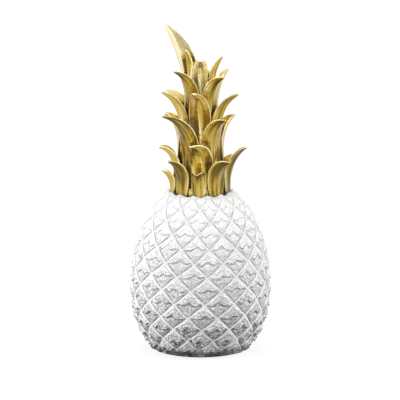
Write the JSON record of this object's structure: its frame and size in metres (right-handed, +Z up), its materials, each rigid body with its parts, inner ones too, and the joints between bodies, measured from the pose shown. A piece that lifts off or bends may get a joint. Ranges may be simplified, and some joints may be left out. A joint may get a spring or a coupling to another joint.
{
  "type": "pineapple figurine",
  "caption": "Ornamental pineapple that stands on a flat felt base: a white casting with a diamond-scaled skin, and a gold crown of curling leaves.",
  "frame": {"origin": "centre of the flat face that the figurine stands on", "axes": "+Z up through the crown; the front of the picture faces -Y, and +X is to its right"},
  "size_m": [0.1078, 0.1074, 0.2492],
  "materials": {
    "white_resin": "cast resin with a satin white paint",
    "gold": "cast resin with a satin antique-gold metallic paint",
    "bare_resin": "bare cast resin",
    "felt": "dark felt",
    "rod_steel": "plain rod"
  },
  "bodies": {
    "root": {"body_casting": "white_resin", "base_plug": "bare_resin", "base_felt": "felt", "crown_stem": "gold", "crown_rod": "rod_steel", "bract_1": "gold", "bract_2": "gold", "bract_3": "gold", "bract_4": "gold", "bract_5": "gold", "bract_6": "gold", "bract_7": "gold", "bract_8": "gold", "bract_9": "gold", "low_leaf_1": "gold", "low_leaf_2": "gold", "low_leaf_3": "gold", "low_leaf_4": "gold", "broad_leaf_1": "gold", "broad_leaf_2": "gold", "broad_leaf_3": "gold", "broad_leaf_4": "gold", "broad_leaf_5": "gold", "middle_leaf_1": "gold", "middle_leaf_2": "gold", "middle_leaf_3": "gold", "middle_leaf_4": "gold", "middle_leaf_5": "gold", "upper_leaf_1": "gold", "upper_leaf_2": "gold", "upper_leaf_3": "gold", "upper_leaf_4": "gold", "upper_leaf_5": "gold", "inner_leaf_1": "gold", "inner_leaf_2": "gold", "inner_leaf_3": "gold", "inner_leaf_4": "gold", "inner_leaf_5": "gold"}
  },
  "joints": []
}
